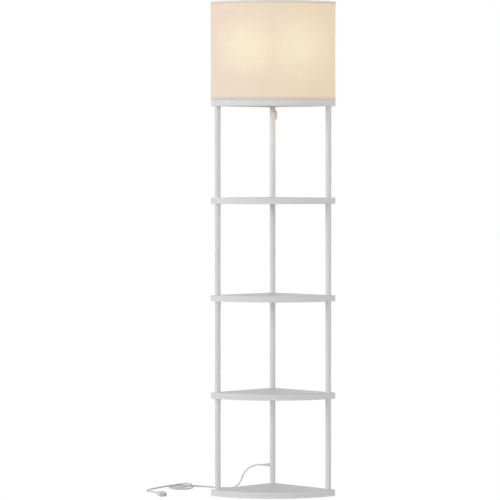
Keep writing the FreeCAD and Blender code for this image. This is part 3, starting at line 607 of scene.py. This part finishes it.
def threaded_finish(name, colour, roughness, axis_x, axis_y, pitch):
    """Plated metal with a thread cut round the vertical axis at (axis_x, axis_y)."""
    material = finish(name, colour, roughness, 1.0)
    split = add(material, "SeparateXYZ", [("Vector", place_on_piece(material))])
    aside = sums(material, "SUBTRACT", split.outputs["X"], axis_x)
    ahead = sums(material, "SUBTRACT", split.outputs["Y"], axis_y)
    angle = sums(material, "DIVIDE", sums(material, "ARCTAN2", ahead, aside), 2 * math.pi)
    turns = sums(material, "SUBTRACT", sums(material, "DIVIDE", split.outputs["Z"], pitch), angle)
    ridge = sums(material, "PINGPONG", turns, 0.5)
    # Painted shade: the thread's grooves are painted darker.
    feed(material, "Base Color", ramp(material, ridge, [(0.0, scaled(colour, 0.6)), (0.4, colour)]))
    feed(material, "Normal", bump(material, ridge, 0.0004))
    return material


zinc_grey = (0.55, 0.56, 0.58)
lamp_axis_y = sum(corner.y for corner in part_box("lamp_stem")) / 2
zinc_steel = metal_finish("zinc_steel", zinc_grey, 0.32, 700.0, 0.18)
thread_pitch = 0.001
stem_thread = threaded_finish("stem_thread", zinc_grey, 0.35, 0.0, lamp_axis_y, thread_pitch)
pipe_thread = threaded_finish("pipe_thread", zinc_grey, 0.35, back_post.x, back_post.y, thread_pitch)
nickel = metal_finish("nickel", (0.72, 0.70, 0.66), 0.16, 900.0, 0.08)
brass = metal_finish("holder_brass", (0.72, 0.52, 0.22), 0.28, 500.0, 0.15)
aluminium = metal_finish("bulb_cap_metal", (0.70, 0.71, 0.72), 0.3, 500.0, 0.1)
dress(zinc_steel, "bolt_inserts", "pipe_inserts", "joining_studs", "base_bolts", "top_bolts",
      "outlet_nut", "stem_nuts", "shade_clips", "lamp_bar_screws", "clip_screws")
dress(stem_thread, "lamp_stem")
dress(pipe_thread, "outlet_pipe", "joining_pipes")
dress(nickel, "plug_blades")
dress(brass, "screw_shells", "socket_contacts")
dress(aluminium, "left_bulb_cap", "right_bulb_cap")

# %% [markdown]
# ## Plastics and rubber
#
# The holders and the hub are moulded in a heat-proof white plastic with a faint grain. The fob is a
# smooth pale one with a warm tone, and the foot pads are foam.

# %% Moulded parts
moulded_white = (0.76, 0.76, 0.74)
white_plastic = vinyl_finish("white_plastic", moulded_white)
neck_plastic = vinyl_finish("bulb_neck_plastic", (0.80, 0.80, 0.78))
dress(white_plastic, "cluster_hub", "hub_cover", "left_holder", "right_holder", "chain_grommet",
      "pull_switch")
dress(neck_plastic, "left_bulb_neck", "right_bulb_neck")
dress(cord_vinyl, "inner_cord")

fob_plastic = finish("fob_plastic", (0.80, 0.69, 0.62), 0.22, Coat_Weight=0.4, Coat_Roughness=0.12)
streaks = noise(fob_plastic, 160.0, 3.0, (1.0, 1.0, 0.25))
fob_streaks = [(0.3, (0.77, 0.66, 0.585)), (0.7, (0.83, 0.725, 0.655))]
feed(fob_plastic, "Base Color", ramp(fob_plastic, streaks, fob_streaks))
feed(fob_plastic, "Normal", bump(fob_plastic, streaks, 0.00004))
dress(fob_plastic, "pull_fob")

pad_rubber = finish("pad_rubber", (0.52, 0.52, 0.51), 0.85)
foam_cells = noise(pad_rubber, 1500.0, 2.0)
foam_greys = [(0.35, (0.42, 0.42, 0.41)), (0.65, (0.56, 0.56, 0.55))]
feed(pad_rubber, "Base Color", ramp(pad_rubber, foam_cells, foam_greys))
feed(pad_rubber, "Normal", bump(pad_rubber, foam_cells, 0.0002))
dress(pad_rubber, "foot_pads")

# %% [markdown]
# ## Lit bulbs
#
# The lamp is on: two milky domes glow warm inside the shade and light the lining and the bar. What
# they send down through the open frame gets a light of its own, further on. The domes are emissive,
# and a little brighter at the crown than beside the neck, which a ramp over height gives.

# %% Milky domes
bulb_warm = (1.0, 0.80, 0.52)
bulb_strength = 8.0
level_by_the_neck = 0.7
milk = finish("bulb_milk", (0.85, 0.80, 0.70), 0.3, Emission_Strength=bulb_strength)
dome_height = add(milk, "SeparateXYZ", [("Vector", place_on_piece(milk))]).outputs["Z"]
dome_low, dome_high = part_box("left_bulb_dome")
dome_share = sums(milk, "DIVIDE", sums(milk, "SUBTRACT", dome_height, dome_low.z), dome_high.z - dome_low.z)
dome_levels = [(0.0, scaled(bulb_warm, level_by_the_neck)), (0.5, bulb_warm)]
feed(milk, "Emission Color", ramp(milk, dome_share, dome_levels))
frosting = noise(milk, 800.0, 2.0)
feed(milk, "Normal", bump(milk, frosting, 0.00002))
dress(milk, "left_bulb_dome", "right_bulb_dome")

# %% [markdown]
# ## The outline that the shade follows
#
# The shade has the boards' quarter-round outline, a little prouder, with small rounded corners. Its
# line is a few arcs and two straights, so it is worked out here once, point by point with the
# outward direction at each, and every layer of the shade is that line moved out or in.

# %% Outline of the shade
fan_radius = 0.285
line_round = 0.0036
fabric_outside_line = 0.0009
shade_low, shade_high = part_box("shade_fabric")
fan_middle = Vector((0.0, shade_low.y + fan_radius + fabric_outside_line))
outline_step = 0.003


def arc_points(centre, radius, start, end):
    """(point, outward direction) pairs along an arc; the angles are in degrees."""
    count = max(6, round(abs(math.radians(end - start)) * radius / outline_step))
    pairs = []
    for k in range(count + 1):
        angle = math.radians(start + (end - start) * k / count)
        direction = Vector((math.cos(angle), math.sin(angle)))
        pairs.append((centre + direction * radius, direction))
    return pairs


def straight_points(start, end, direction):
    count = max(1, round((end - start).length / outline_step))
    return [(start.lerp(end, k / count), direction) for k in range(1, count)]


def shade_outline():
    """The line where the shade's fabric lies, from the back corner round by the right."""
    tip_reach = math.sqrt((fan_radius - line_round) ** 2 - line_round ** 2)
    tip_angle = -45 - math.degrees(math.asin(line_round / (fan_radius - line_round)))
    back = fan_middle - Vector((0, line_round * math.sqrt(2)))
    along, outward = Vector((1, -1)).normalized(), Vector((1, 1)).normalized()
    tip = fan_middle + along * tip_reach - outward * line_round
    mirror = Vector((-1, 1))
    right = arc_points(back, line_round, 90, 45)
    right += straight_points(back + outward * line_round, tip + outward * line_round, outward)
    right += arc_points(tip, line_round, 45, tip_angle)
    front = arc_points(fan_middle, fan_radius, tip_angle, -180 - tip_angle)[1:-1]
    left = [(point * mirror, direction * mirror) for point, direction in reversed(right)]
    return right + front + left[:-1]


outline = shade_outline()

# %% [markdown]
# ## Linen
#
# Linen is a plain weave of uneven yarns: some are thick for a few centimetres and thin again, which
# draws faint streaks across and down. The light from inside that shines through it is painted on as
# an emission glow, warmer and brighter towards the right to make up for the key light from the left,
# with a paler spot in front of each bulb. The cloth keeps a map of its own: metres along and metres
# up, so the weave turns the corners with it. The painted glow depends on the distance to the bulbs and
# the place on the shade, and not on the view. The larger of the two spots counts, not their sum,
# which would fill the dip between them.


# %% Linen and its glow
yarn_pitch = 0.0009
glow_places = [(-0.068, -0.085, 1.448), (0.071, -0.085, 1.448)]
glow_reach = 0.17
glow_blend = 0.2
slub_scales = ((30.0, 900.0, 1.0), (900.0, 30.0, 1.0))


def yarns(material, coordinate, pitch):
    """Rounded ridges, 0 to 1, one for each yarn."""
    wave = sums(material, "SINE", sums(material, "MULTIPLY", coordinate, 2 * math.pi / pitch), 0)
    return sums(material, "MULTIPLY", sums(material, "ADD", wave, 1.0), 0.5)


def closeness(material, place, reach):
    """1 at a place on the piece, falling smoothly to 0 at the reach."""
    apart = add(material, "VectorMath", [(0, place_on_piece(material))])
    apart.operation = "DISTANCE"
    apart.inputs[1].default_value = place
    fall = add(material, "MapRange", [("Value", apart.outputs["Value"])])
    fall.interpolation_type = "SMOOTHERSTEP"
    for socket, value in (("From Min", 0.0), ("From Max", reach), ("To Min", 1.0), ("To Max", 0.0)):
        fall.inputs[socket].default_value = value
    return fall.outputs["Result"]


def painted_bulb_glow(material, far, near):
    """Painted glow for the light that comes through; far and near are (left, right) pairs of colours."""
    spots = add(material, "Math", [(k, closeness(material, place, glow_reach))
                                   for k, place in enumerate(glow_places)])
    spots.operation = "SMOOTH_MAX"
    spots.inputs[2].default_value = glow_blend
    side = add(material, "SeparateXYZ", [("Vector", place_on_piece(material))]).outputs["X"]
    across = add(material, "MapRange", [("Value", side)],
                 **{"From Min": shade_low.x, "From Max": shade_high.x}).outputs["Result"]
    far_colour, near_colour = [ramp(material, across, list(zip((0.0, 1.0), pair))) for pair in (far, near)]
    return mixed(material, spots.outputs[0], far_colour, near_colour)


def linen_finish(name, colour, far, near):
    material = finish(name, colour, 0.85, Sheen_Weight=0.15, Sheen_Roughness=0.5)
    shader_of(material).inputs["Emission Strength"].default_value = 1.0
    cloth = add(material, "UVMap")
    cloth.uv_map = "cloth"
    split = add(material, "SeparateXYZ", [("Vector", cloth.outputs["UV"])])
    along, height = split.outputs["X"], split.outputs["Y"]
    slub_maps = [add(material, "Mapping", [("Vector", cloth.outputs["UV"])], Scale=scale).outputs["Vector"]
                 for scale in slub_scales]
    slubs = sums(material, "ADD", *[noise(material, 1.0, 3.0, vector=place) for place in slub_maps])
    slubs = sums(material, "MULTIPLY", slubs, 0.5)
    yarn_colours = [(0.35, scaled(colour, 0.93)), (0.65, scaled(colour, 1.03))]
    feed(material, "Base Color", ramp(material, slubs, yarn_colours))
    thick_and_thin = ramp(material, slubs, [(0.35, (0.90, 0.89, 0.88)), (0.65, (1.04, 1.04, 1.04))])
    # Painted light: the glow of the bulbs through the cloth is an emission colour, varied with the yarns.
    painted_shine_through = mixed(material, 1.0, painted_bulb_glow(material, far, near), thick_and_thin, "MULTIPLY")
    feed(material, "Emission Color", painted_shine_through)
    yarns_up, yarns_along = [yarns(material, place, yarn_pitch) for place in (along, height)]
    weave = sums(material, "MULTIPLY", yarns_up, yarns_along)
    thick = bump(material, slubs, 0.0005)
    feed(material, "Normal", bump(material, weave, 0.00025, under=thick))
    return material


linen_colour = (0.78, 0.68, 0.60)
linen = linen_finish("linen", linen_colour, far=[(0.195, 0.140, 0.080), (0.325, 0.228, 0.092)],
                     near=[(0.345, 0.295, 0.158), (0.430, 0.378, 0.193)])
hem_colour = (0.80, 0.71, 0.655)
# The hems get a painted glow of their own, for light through the folded tape, stronger to the right on the
# bottom hem.
top_hem_glow = [(0.08, 0.075, 0.035), (0.095, 0.08, 0.055)]
bottom_hem_glow = [(0.055, 0.045, 0.045), (0.16, 0.097, 0.03)]
top_hem_linen = linen_finish("top_hem_linen", hem_colour, top_hem_glow, top_hem_glow)
bottom_hem_linen = linen_finish("bottom_hem_linen", hem_colour, bottom_hem_glow, bottom_hem_glow)
# The lining gets a painted glow as well, stronger near the bulbs, on top of the light that the domes give it.
lining_white = linen_finish("lining", (0.76, 0.74, 0.70), far=[(0.10, 0.075, 0.02)] * 2,
                            near=[(0.20, 0.17, 0.06)] * 2)
print("linen glows by", len(glow_places), "bulbs")

# %% [markdown]
# ## The shade's sheets
#
# A shade like this is linen glued to a stiff white lining, bent round two ring wires, with a tape
# of the same linen folded over each edge. The linen could be a simulated cloth, but it hangs
# nowhere: it is held flat all round. So each layer is a strip that follows the outline. The linen's
# last 12 millimetres are lapped over its first near the back corner. Linen and lining bow out or in
# by up to 0.7 millimetres between the wires, as glued cloth does.

# %% Where a strip runs, and how it bows
random.seed(7)
bows = [(random.uniform(1, 9), random.uniform(0, 6.3), random.uniform(0.5, 2.2), random.uniform(0, 6.3))
        for _ in range(7)]
bow_depth = 0.00022
bow_rate_along = 6.2
bow_rate_up = 3.1
lap_length = 0.012
lap_start = 0.030
lap_rise_before = 0.006
lap_rise_after = 0.001


def bow_at(along, share):
    """How far cloth bows out, at metres along and at a share of the shade's height."""
    held = math.sin(math.pi * min(max(share, 0.0), 1.0))
    waves = sum(math.sin(a * along * bow_rate_along + b) * math.sin(c * share * bow_rate_up + d)
                for a, b, c, d in bows)
    return bow_depth * held * waves


def running_outline(extra):
    """(point, direction, metres along) rows, from the lap round and over it again."""
    total, run = 0.0, []
    start = next(k for k, pair in enumerate(outline) if (pair[0] - outline[0][0]).length > lap_start)
    ordered = outline[start:] + outline[:start] + outline[start:start + extra + 1]
    for k, (point, direction) in enumerate(ordered):
        if k:
            total += (point - ordered[k - 1][0]).length
        run.append((point, direction, total))
    return run


print("cloth bows in", len(bows), "waves")


# %% Strips that follow the outline
def strip(name, section, heights_bow, material, thickness, lap=0.0):
    """A strip swept round the outline. section is (outward, height, metres across) rows."""
    lap_points = math.ceil(lap_length / outline_step) if lap else 0
    run = running_outline(lap_points)
    whole = run[-1 - lap_points][2]
    work = bmesh.new()
    layer = work.loops.layers.uv.new("cloth")
    columns = []
    for point, direction, along in run:
        over = ease(whole - lap_rise_before, whole + lap_rise_after, along) * lap
        column = []
        for outward, height, _ in section:
            bow = 0.0
            if heights_bow:
                low, high = heights_bow
                bow = bow_at(along, (height - low) / (high - low))
            place = point + direction * (outward + over + bow)
            column.append(work.verts.new((place.x, place.y, height)))
        columns.append((column, along))
    for (first, from_along), (second, to_along) in zip(columns, columns[1:]):
        for k in range(len(section) - 1):
            face = work.faces.new((first[k], second[k], second[k + 1], first[k + 1]))
            corners = ((from_along, k), (to_along, k), (to_along, k + 1), (from_along, k + 1))
            for loop, (along, row) in zip(face.loops, corners):
                loop[layer].uv = (along, section[row][2])
    data = bpy.data.meshes.new(name)
    work.to_mesh(data)
    work.free()
    soften(data, 60.0)
    piece = new_piece(name, data, material)
    shell = piece.modifiers.new("thickness", "SOLIDIFY")
    shell.thickness = thickness
    shell.offset = 0.0
    shell.use_even_offset = True
    return piece


print("a strip follows", len(running_outline(0)), "points")

# %% Linen, lining and hems
linen_thickness = 0.0005
lining_thickness = 0.0003
tape_thickness = 0.0003
hem_height = 0.009
shade_bottom, shade_top = shade_low.z, shade_high.z


def upright_section(outward, low, high, rows):
    heights = [low + (high - low) * k / rows for k in range(rows + 1)]
    return [(outward, height, height) for height in heights]


shade_linen = strip("shade_linen", upright_section(0.00025, shade_bottom + 0.0006, shade_top - 0.0006, 48),
                    (shade_bottom, shade_top), linen, linen_thickness, lap=0.0006)
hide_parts("shade_fabric")
shade_lining = strip("shade_lining", upright_section(-0.0002, shade_bottom + 0.0007, shade_top - 0.0007, 24),
                     (shade_bottom, shade_top), lining_white, lining_thickness)


def hem_section(edge, inside):
    """A tape folded over the shade's edge; inside is +1 where the shade lies above the edge."""
    outer, inner, fold = 0.0008, -0.0007, 5
    rows = [(outer, edge + inside * hem_height),
            (outer + 0.0001, edge + inside * (hem_height - 0.0004)),
            (outer, edge + inside * hem_height * 0.5)]
    for k in range(fold + 1):
        angle = math.pi * k / fold
        middle, reach = (outer + inner) / 2, (outer - inner) / 2
        rows.append((middle + reach * math.cos(angle), edge + inside * (0.0011 - reach * math.sin(angle))))
    rows += [(inner, edge + inside * hem_height * 0.5), (inner, edge + inside * hem_height)]
    across = [0.0]
    for before, after in zip(rows, rows[1:]):
        across.append(across[-1] + math.dist(before, after))
    return [(outward, height, along) for (outward, height), along in zip(rows, across)]


hem_bottom = strip("shade_hem_bottom", hem_section(shade_bottom, 1), None, bottom_hem_linen,
                   tape_thickness)
hem_top = strip("shade_hem_top", hem_section(shade_top, -1), None, top_hem_linen, tape_thickness)

# %% [markdown]
# ## The pull chain
#
# A ball chain is a string of hollow beads on short wire links. The model holds a plain turned
# string; here each bead is round, drawn in round the hole where its link comes out.

# %% Beads and links
chain_low, chain_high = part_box("pull_chain")
chain_axis = (chain_low + chain_high) / 2
bead_radius = (chain_high.x - chain_low.x) / 2
bead_pitch = 0.0044
link_radius = 0.0005
bead_count = round((chain_high.z - chain_low.z - 2 * bead_radius) / bead_pitch) + 1


def chain_profile():
    """(radius, height) pairs from the lowest bead to the highest."""
    profile = []
    for k in range(bead_count):
        middle = chain_low.z + bead_radius + bead_pitch * k
        lip = math.asin(1.6 * link_radius / bead_radius)
        for step in range(11):
            angle = -math.pi / 2 + lip + (math.pi - 2 * lip) * step / 10
            profile.append((bead_radius * math.cos(angle), middle + bead_radius * math.sin(angle)))
        profile.append((link_radius, middle + bead_radius * 0.9))
        if k < bead_count - 1:
            profile.append((link_radius, middle + bead_pitch - bead_radius * 0.9))
    return profile


chain_rings = moved(turned_rings(chain_profile(), 24), Matrix.Translation((chain_axis.x, chain_axis.y, 0)))
chain = new_piece("ball_chain", mesh_of_rings("ball_chain", chain_rings, 50.0), nickel, "pull")
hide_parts("pull_chain")
print("chain:", bead_count, "beads")

# %% [markdown]
# ## Floor and light
#
# The photograph is a studio shot on pure white. The world is white only where the camera, a
# reflection or something clear looks at it, and the floor glows only for those too: the light that
# they give the lamp stays at a plain level. A soft sun from the front left shades the boards from
# left to right.

# %% White world
white = (1.0, 1.0, 1.0, 1.0)
sky_strength = 2.54
sky_shares = [(0.0, 1.0), (0.2, 0.7), (0.4, 0.12), (1.0, 0.05)]


def seen_directly(tree):
    """1 for camera, mirror and transmission rays."""
    path = tree.nodes.new("ShaderNodeLightPath")
    total = path.outputs["Is Camera Ray"]
    for name in ("Is Glossy Ray", "Is Transmission Ray"):
        either = tree.nodes.new("ShaderNodeMath")
        either.operation = "MAXIMUM"
        tree.links.new(total, either.inputs[0])
        tree.links.new(path.outputs[name], either.inputs[1])
        total = either.outputs[0]
    return total


world = bpy.data.worlds.new("studio")
bpy.context.scene.world = world
world.use_nodes = True
sky = world.node_tree.nodes["Background"]
direction = add(world, "SeparateXYZ", [("Vector", add(world, "TexCoord").outputs["Generated"])])
sky_greys = [(place, (share, share, share)) for place, share in sky_shares]
by_height = ramp(world, direction.outputs["Z"], sky_greys)
world.node_tree.links.new(by_height, sky.inputs["Color"])
sky.inputs["Strength"].default_value = sky_strength
backdrop = world.node_tree.nodes.new("ShaderNodeBackground")
backdrop.inputs["Color"].default_value = white
choice = world.node_tree.nodes.new("ShaderNodeMixShader")
world.node_tree.links.new(seen_directly(world.node_tree), choice.inputs[0])
world.node_tree.links.new(sky.outputs[0], choice.inputs[1])
world.node_tree.links.new(backdrop.outputs[0], choice.inputs[2])
world.node_tree.links.new(choice.outputs[0], world.node_tree.nodes["World Output"].inputs["Surface"])
print("sky strength", sky_strength)

# %% Key light
key_level = 0.72
key_from = Vector((-0.82, -0.44, 0.36))
key_width_degrees = 35

key = bpy.data.objects.new("key", bpy.data.lights.new("key", "SUN"))
key.data.energy = key_level
key.data.angle = math.radians(key_width_degrees)
key.rotation_euler = key_from.to_track_quat("Z", "Y").to_euler()
bpy.context.scene.collection.objects.link(key)
print("key level", key_level)

# %% [markdown]
# The bulbs also send light down through the open frame, onto the fob and the back post. Milky domes
# are large and weak, so this path would take very many samples. A small warm spot light below the
# right bulb stands in for it.

# %% Light through the frame
through_from = Vector((0.050, -0.070, 1.330))
through_to = Vector((0.0, 0.110, 1.200))
through_level = 0.43
through_warm = (1.0, 0.80, 0.60)
through_size = 0.015
through_cone_degrees = 75
through_fade = 0.8

through = bpy.data.objects.new("through_frame", bpy.data.lights.new("through_frame", "SPOT"))
through.data.energy = through_level
through.data.color = through_warm
through.data.shadow_soft_size = through_size
through.data.spot_size = math.radians(through_cone_degrees)
through.data.spot_blend = through_fade
through.location = through_from
through.rotation_euler = (through_from - through_to).to_track_quat("Z", "Y").to_euler()
bpy.context.scene.collection.objects.link(through)
print("light through the frame from", [round(value, 3) for value in through_from])

# %% [markdown]
# To the camera the floor is an even mix of a glow and of paint that takes the light. The glow alone
# comes to 0.8 of white, and the light on the paint adds the rest where nothing shades the floor, so
# the lamp's soft shadow stays.

# %% Floor
floor_half = 30.0
floor_white_share = 0.5
floor_glow = 1.60
floor_grey = (0.82, 0.82, 0.82)
floor_corners = [(x * floor_half, y * floor_half, 0.0) for x, y in ((-1, -1), (1, -1), (1, 1), (-1, 1))]

floor_data = bpy.data.meshes.new("floor")
floor_data.from_pydata(floor_corners, [], [(0, 1, 2, 3)])
floor = bpy.data.objects.new("floor", floor_data)
bpy.context.scene.collection.objects.link(floor)
floor_paint = finish("floor_paint", floor_grey, 0.9)
floor_nodes = floor_paint.node_tree
glow = floor_nodes.nodes.new("ShaderNodeEmission")
glow.inputs["Strength"].default_value = floor_glow
blend = floor_nodes.nodes.new("ShaderNodeMixShader")
share = floor_nodes.nodes.new("ShaderNodeMath")
share.operation = "MULTIPLY"
share.inputs[1].default_value = floor_white_share
floor_nodes.links.new(seen_directly(floor_nodes), share.inputs[0])
floor_nodes.links.new(share.outputs[0], blend.inputs[0])
floor_nodes.links.new(floor_nodes.nodes["Principled BSDF"].outputs[0], blend.inputs[1])
floor_nodes.links.new(glow.outputs[0], blend.inputs[2])
floor_nodes.links.new(blend.outputs[0], floor_nodes.nodes["Material Output"].inputs["Surface"])
floor_data.materials.append(floor_paint)
bpy.context.scene.view_settings.view_transform = "Standard"
print("floor", floor_half * 2, "m wide")
